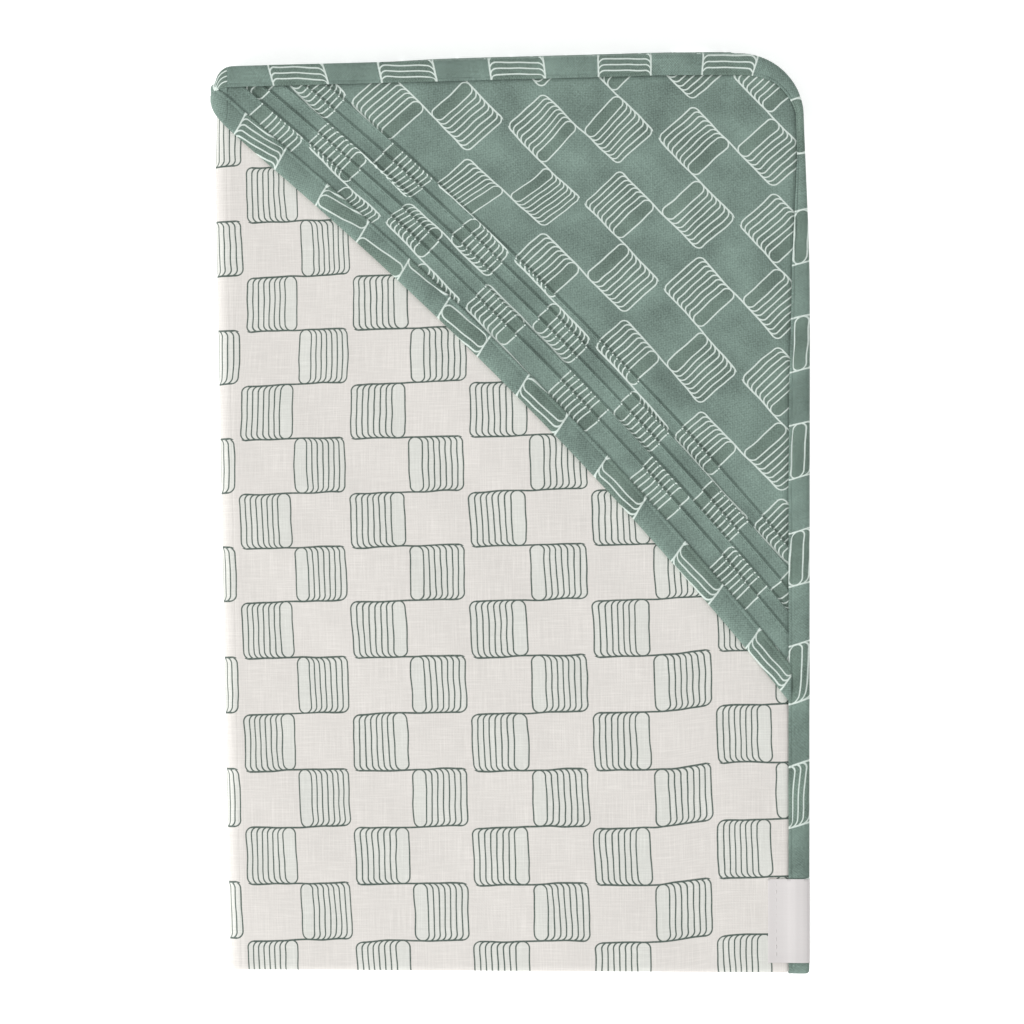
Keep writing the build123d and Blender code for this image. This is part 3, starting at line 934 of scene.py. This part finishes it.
EDGE_START, EDGE_SHEAR = 4.4, 0.2
EDGE_SLIP = [(40, 0), (190, 2.2), (300, 8)]


def hood_section_height(travelled):
    inset, level, puff = HOOD_SECTION.T
    pucker = 1 + 0.25 * np.sin(travelled / 2.1) + 0.2 * np.sin(travelled / 4.9 + 2)
    return PLY + HOOD_FLOOR + level * (HOOD_RISE - HOOD_FLOOR) + puff * pucker


def hood_strip_print(x, y):
    side = from_seam_side(HOOD_SECTION)
    travelled = ARC * (edge_left - np.arctan2(y - CENTRE[1], x - CENTRE[0]))
    x = BLOCK - read_off(DRIFT, travelled) + side
    y = ROW + travelled - EDGE_START - read_off(EDGE_SLIP, travelled) + EDGE_SHEAR * side
    return np.stack(np.broadcast_arrays(x, y), -1)


edge_share = np.linspace(0, 1, 330)[:, None]
edge_left, edge_right = hood_plan.ends(0.0)
EDGE_LENGTH = ARC * (edge_left - edge_right)
x, y = hood_plan.points(HOOD_SECTION[None, :, 0], edge_share)
hood_edge = cloth("hood_edge_strip", fold(front, x, HEAD - y, hood_section_height(edge_share * EDGE_LENGTH)),
                  hood_strip_print(x, y), muslin_sage, STRIP_CLOTH, flip=True)
print("the hood's free edge is", round(EDGE_LENGTH, 1), "mm long")

# %% The hood's tip, with its bit of binding, round the left fold
TIP_TOP = HEAD - UNDER_BINDING
TIP_REACH = TOP + HOOD_RISE - LEFT_FOLD[2]


def tip_points(out, share):
    spoke = ARC + out
    y_fold = CENTRE[1] + np.sqrt(spoke**2 - (LEFT_FOLD[0] - CENTRE[0]) ** 2)
    x_top = CENTRE[0] + np.sqrt(spoke**2 - (TIP_TOP - CENTRE[1]) ** 2)
    start = np.arctan2(y_fold - CENTRE[1], LEFT_FOLD[0] - CENTRE[0])
    finish = np.arctan2(TIP_TOP - CENTRE[1], x_top - CENTRE[0])
    angle = start + (finish - start) * share
    return CENTRE[0] + spoke * np.cos(angle), CENTRE[1] + spoke * np.sin(angle)


def tip_turn(x):
    return np.clip((LEFT_FOLD[0] - x) / TIP_REACH, 0, math.pi)


def round_left_fold(x, y, height):
    return carry(fold(front, np.minimum(x, LEFT_FOLD[0]), HEAD - y, height), LEFT_FOLD, -1, tip_turn(x))


tip_deepest = np.hypot(LEFT_FOLD[0] - CENTRE[0], TIP_TOP - CENTRE[1]) - ARC
tip_rows = np.concatenate([[1.0, 4.0, 7.5, 9.0], np.arange(10, tip_deepest - 0.3, 0.9), [tip_deepest - 0.02]])
tip_x, y = tip_points(tip_rows[:, None], np.linspace(0, 1, 24)[None, :])
flat_tip = fold(front, tip_x, HEAD - y, PLY + HOOD_RISE)
hood_tip = cloth("hood_tip_cloth", round_left_fold(tip_x, y, PLY + HOOD_RISE), hood_print(flat_tip), muslin_sage,
                 HOOD_CLOTH, flip=True, row_shift=tuck_jumps(tip_rows))
tip_share = np.linspace(0, 1, 26)[:, None]
tip_edge_x, y = tip_points(HOOD_SECTION[None, :, 0], tip_share)
tip_edge = cloth("hood_tip_edge_strip", round_left_fold(tip_edge_x, y, hood_section_height(-tip_share * 20)),
                 hood_strip_print(tip_edge_x, y), muslin_sage, STRIP_CLOTH)

# %% The hood's margin, hidden in the side and head bindings
x, v, in_x, in_v, travelled = binding_paths["front"]
beside_hood = (v < FOOT_STARTS) & (HEAD - v > HOOD_END)
x, v, in_x, in_v = (part[beside_hood][::3, None] for part in (x, v, in_x, in_v))
inset = np.array([0.9, 2.5, 5.0, 7.5])
x, v = x + in_x * inset, v + in_v * inset
points = fold(front, x, v, PLY + HOOD_RISE - 0.75)
hood_margin = cloth("hood_seam_margin", points, hood_print(points), muslin_sage, STRIP_CLOTH)

# %% [markdown]
# ## Sewing thread
# A row of machine stitches is a run of small separate loops, each sinking into the cloth at both ends.
# Each stitch here is a short rounded bar of real mesh, laid along its seam at an even stitch length.


# %% A row of stitches along a line of points
STITCH, STITCH_GAP, AROUND = 2.1, 1.1, 6


def stitches(name, line, above, material, width=0.52, height=0.22):
    line, above = settle(line), settle(above)
    travelled = distance_along(line)
    count = int(travelled[-1] / (STITCH + STITCH_GAP))
    starts = np.arange(count) * (STITCH + STITCH_GAP) + STITCH_GAP / 2
    at = starts[:, None] + np.array([0, 0.2, 0.8, 1.0]) * STITCH

    def along(values, places):
        return np.stack([np.interp(places, travelled, values[:, axis]) for axis in range(3)], -1)

    middle_line, up = along(line, at), along(above, at) - along(line, at)
    up /= np.linalg.norm(up, axis=-1, keepdims=True)
    ahead = along(line, at + 0.3) - along(line, at - 0.3)
    aside = np.cross(ahead, up)
    aside /= np.linalg.norm(aside, axis=-1, keepdims=True) + 1e-12
    angle = np.linspace(0, 2 * math.pi, AROUND, endpoint=False)
    taper, rise = np.array([0.35, 1, 1, 0.35]), np.array([-0.06, 0.05, 0.05, -0.06])
    half = taper[None, :, None, None] / 2
    points = (middle_line + up * rise[:, None])[:, :, None, :]
    points = points + aside[:, :, None, :] * np.cos(angle)[:, None] * width * half
    points = points + up[:, :, None, :] * np.sin(angle)[:, None] * height * 2 * half
    number = np.arange(count * 4 * AROUND).reshape(count, 4, AROUND)
    turned = np.roll(number, -1, axis=2)
    quads = np.stack([number[:, :-1], turned[:, :-1], turned[:, 1:], number[:, 1:]], -1).reshape(-1, 4).tolist()
    caps = number[:, 0, ::-1].tolist() + number[:, -1].tolist()
    return new_object(name, points.reshape(-1, 3), quads + caps, None, material), np.repeat(at, AROUND, axis=1).ravel()


# %% Stitch the bindings of the thirds
# The binding stitches use the darkened sage thread, whose colour holds painted shade of the needle holes.
SEAM_AND_ABOVE = np.array([(SEAM, 1, 0.0), (SEAM, 1, 1.0)])
binding_threads = {}
for name, path in binding_paths.items():
    third = {"end": end, "front": front}.get(name, middle)
    seam_line, one_above = np.moveaxis(sweep(third, path, SEAM_AND_ABOVE), 1, 0)
    binding_threads[name], _ = stitches(name + "_edge_thread", seam_line, 2 * one_above - seam_line, sage_thread_painted_shade)
print("stitched", len(binding_threads), "bindings")

# %% Stitch the hood's free edge and its tucks
hood_threads = []


def hood_seam(name, out, rise, material, width):
    u = np.linspace(0.004, 0.996, 500)
    x, y = hood_plan.points(out, u)
    inside = from_edge(front, x, HEAD - y) > BINDING + 0.3
    x, y = x[inside], y[inside]
    line = fold(front, x, HEAD - y, rise(x, y))
    thread, at = stitches(name, line, line + (0, 0, 1), material, width=width)
    travelled = distance_along(settle(line))
    share = hood_plan.share(np.interp(at, travelled, x), np.interp(at, travelled, y))
    hood_threads.append((thread, share))
    return thread


# The free edge's stitches use the same darkened sage thread, with painted shade of the needle holes.
edge_thread = hood_seam("hood_edge_thread", HOOD_SEAM, lambda x, y: np.full_like(x, PLY + HOOD_RISE + 0.02),
                        sage_thread_painted_shade, 0.45)
tuck_threads = [
    hood_seam(f"hood_tuck_thread_{number + 1}", tuck - 0.95,
              lambda x, y, tuck=tuck: hood_height(x, y, np.full_like(x, tuck - 0.95)), tuck_thread, 0.34)
    for number, tuck in enumerate(TUCKS)
]

# %% [markdown]
# ## The label
# A short satin ribbon, folded over the side edge and caught by one row of stitches at its inner end. It
# climbs over the binding and bends round the edge, so it is one bent sheet and not two flat ones.

# %% Bend the label over the edge
label_low, label_high = box_mm("label")
LABEL_BEND = np.array([
    (label_low[0] - 0.8, PLY + 0.12), (label_low[0] - 0.3, PLY + 0.2), (label_low[0] + 2.4, PLY + 0.16),
    (label_low[0] + 5.5, PLY + 0.3), (front.right - BINDING - 0.8, PLY + 0.5),
    (front.right - BINDING + 0.8, PLY + 0.85), (front.right - 5.5, PLY + 1.15),
    (front.right - 2.4, PLY + 1.1), (front.right - 0.9, PLY + 0.85),
    (front.right - 0.1, PLY + 0.45), (front.right + 0.35, PLY - 0.3), (front.right + 0.45, PLY / 2),
    (front.right + 0.3, 0.2), (front.right - 0.4, -0.15), (front.right - 3, -0.24), (label_low[0] + 2, -0.24),
])
steps = np.linspace(0, len(LABEL_BEND) - 1, 61)
bend = np.stack([np.interp(steps, np.arange(len(LABEL_BEND)), LABEL_BEND[:, c]) for c in (0, 1)], -1)
label_v = np.linspace(HEAD - label_high[1], HEAD - label_low[1], 30)
curl = 0.1 * np.sin(label_v / 5.0)[:, None] + 0.25 * smooth(np.abs(label_v - label_v.mean()), 13, 17.2)[:, None]
curl = curl * (bend[:, 1] > PLY)
label_points = fold(front, bend[None, :, 0], label_v[:, None], bend[None, :, 1] + curl)
label_piece = cloth("side_label", label_points, label_points[..., :2], label_satin, RIBBON)
line_x = label_low[0] + 2.6
line = fold(front, np.full(80, line_x), np.linspace(label_v[0] + 0.5, label_v[-1] - 0.5, 80), PLY + 0.2)
label_thread, _ = stitches("side_label_thread", line, line + (0, 0, 1), pale_thread, width=0.35)
print("label", round(label_high[1] - label_low[1], 1), "mm tall")

# %% [markdown]
# ## Riding with the joints
# A third's own cloth rides on its body. The rolls at the side folds, and the hood, cross a joint. Each of their points
# is given a share, from how far round the roll it is, and for the hood from how far it is from the two sewn sides,
# small there and largest at the middle of the free edge. The shares are not used, though: these pieces are only baked
# where they lie and are given no body.


# %% Bake a piece in place: the two bodies, the shares and the two ends are not used
def bend_with(piece, body_a, body_b, shares, start, finish):
    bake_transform(piece)


def put_on(piece, nodes, body=None):
    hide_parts(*nodes)
    if body:
        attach(piece, body)


for third in (end, middle, front):
    put_on(faces[third.name], [third.name + "_face"], third.body)
    put_on(terries[third.name], [third.name + "_backing"], third.body)
for name, piece in bindings.items():
    part = name.split("_")[0]
    put_on(piece, [part + "_binding"], part + "_third")
    put_on(binding_threads[name], [part + "_binding_stitching"], part + "_third")

# %% The rolls at the side folds
fold_bodies = {"left_fold": ("middle_third", "front_third"), "right_fold": ("end_third", "middle_third")}


def bend_round(piece, name, nodes, turn):
    axis = side_folds[name][1]
    reach = np.array([0, 0, TOP - LEFT_FOLD[2]])
    put_on(piece, nodes)
    bend_with(piece, *fold_bodies[name], 1 - turn / math.pi, axis - reach, axis + reach)


for name in side_folds:
    rows = len(along_lines(0.8, 4.0))
    bend_round(fold_cloths[name], name, [name + "_face"], np.tile(TURN, rows))
    bend_round(fold_terries[name], name, [name + "_backing"], np.tile(TURN, rows))
    for ply_name in ("outer", "inner"):
        bend_round(fold_bindings[name, ply_name], name, [name + "_binding"],
                   np.repeat(TURN, len(SECTION)))
bend_round(hood_tip, "left_fold", ["hood_tip"], tip_turn(tip_x).ravel())
bend_round(tip_edge, "left_fold", ["hood_tip"], tip_turn(tip_edge_x).ravel())


# %% The hood
def lift_with_hood(piece, nodes, share):
    lift = np.sin(math.pi * share) ** 1.3
    put_on(piece, nodes)
    sewn_corner = joint_mm("hood_lift")
    free_edge = [*(EDGE_LEFT + EDGE_RIGHT) / 2, sewn_corner[2]]
    bend_with(piece, "front_third", "hood", lift, sewn_corner, free_edge)


lift_with_hood(hood_cloth, ["hood_panel"], np.tile(share, len(hood_rows)))
lift_with_hood(hood_under, ["hood_lining"], np.tile(np.linspace(0, 1, 60), len(lining_rows)))
lift_with_hood(hood_edge, ["hood_edge_binding"], np.repeat(edge_share, len(HOOD_SECTION)))
for thread, thread_share in hood_threads:
    node = "hood_edge_stitching" if thread is edge_thread else "hood_tuck_stitching"
    lift_with_hood(thread, [node], thread_share)
put_on(hood_margin, ["hood_margin"], "front_third")
put_on(label_piece, ["label"], "front_third")
put_on(label_thread, ["label_stitching"], "front_third")

# %% [markdown]
# ## The sizes the cloth was cut to
# The towel is one square sheet of each cloth, in the five parts that the folds make of it. The loops below only gather
# each third's bindings and stitches, and each fold's bindings, into a list that is not used.

# %% Gather the trims of each part
for third in (end, middle, front):
    trims = [piece for name, piece in bindings.items() if name.split("_")[0] == third.name]
    trims += [piece for name, piece in binding_threads.items() if name.split("_")[0] == third.name]
for name in side_folds:
    trims = [fold_bindings[name, "outer"], fold_bindings[name, "inner"]]

# %% [markdown]
# ## Table, light and camera
# The towel lies on a plain white table under soft light from all round, a little stronger from the
# lower left, so that tucks and puckers show. The table glows a little, as a light table does, so hardly
# any shadow is left on it. The camera looks straight down from three metres with a long lens, so the
# edges stay square.

# %% The table
table_mesh = bpy.data.meshes.new("table")
TABLE_HALF, TABLE_TOP = 12.0, -0.0003
corners = [(x * TABLE_HALF, y * TABLE_HALF, TABLE_TOP) for x, y in ((-1, -1), (1, -1), (1, 1), (-1, 1))]
table_mesh.from_pydata(corners, [], [(0, 1, 2, 3)])
table = bpy.data.objects.new("table", table_mesh)
bpy.context.scene.collection.objects.link(table)
table_white = bpy.data.materials.new("white table")
table_white.use_nodes = True
TABLE_LOOKS = {"Base Color": (0.96, 0.96, 0.96, 1), "Roughness": 0.9, "Specular IOR Level": 0.1,
               "Emission Color": (1.0, 1.0, 1.0, 1), "Emission Strength": 0.45}
for name, value in TABLE_LOOKS.items():
    table_white.node_tree.nodes["Principled BSDF"].inputs[name].default_value = value
table_mesh.materials.append(table_white)

# %% Soft light
world = bpy.data.worlds.new("studio")
bpy.context.scene.world = world
world.use_nodes = True
for name, value in {"Color": (1.0, 1.0, 1.0, 1), "Strength": 0.6}.items():
    world.node_tree.nodes["Background"].inputs[name].default_value = value


def soft_light(name, place, size, power):
    light = bpy.data.lights.new(name, "AREA")
    light.size, light.energy = size, power
    lamp = bpy.data.objects.new(name, light)
    lamp.location = place
    bpy.context.scene.collection.objects.link(lamp)
    lamp.rotation_euler = (-lamp.location).to_track_quat("-Z", "Y").to_euler()


soft_light("low left light", (-1.9, -1.3, 1.45), 0.8, 42.0)
soft_light("high back light", (0.6, 1.6, 2.4), 1.2, 8.0)
bpy.context.scene.view_settings.view_transform = "Standard"

# %% Camera
camera_data = bpy.data.cameras.new("overhead camera")
camera = bpy.data.objects.new("overhead camera", camera_data)
bpy.context.scene.collection.objects.link(camera)
VIEW_HEIGHT, VIEW_WIDTH = 3.0, 0.4184
camera.location = (0.0013, 0.0, VIEW_HEIGHT)
camera_data.sensor_width = 36.0
camera_data.lens = camera_data.sensor_width * (VIEW_HEIGHT - TOP * MM) / VIEW_WIDTH
camera_data.clip_end = 30.0
bpy.context.scene.camera = camera
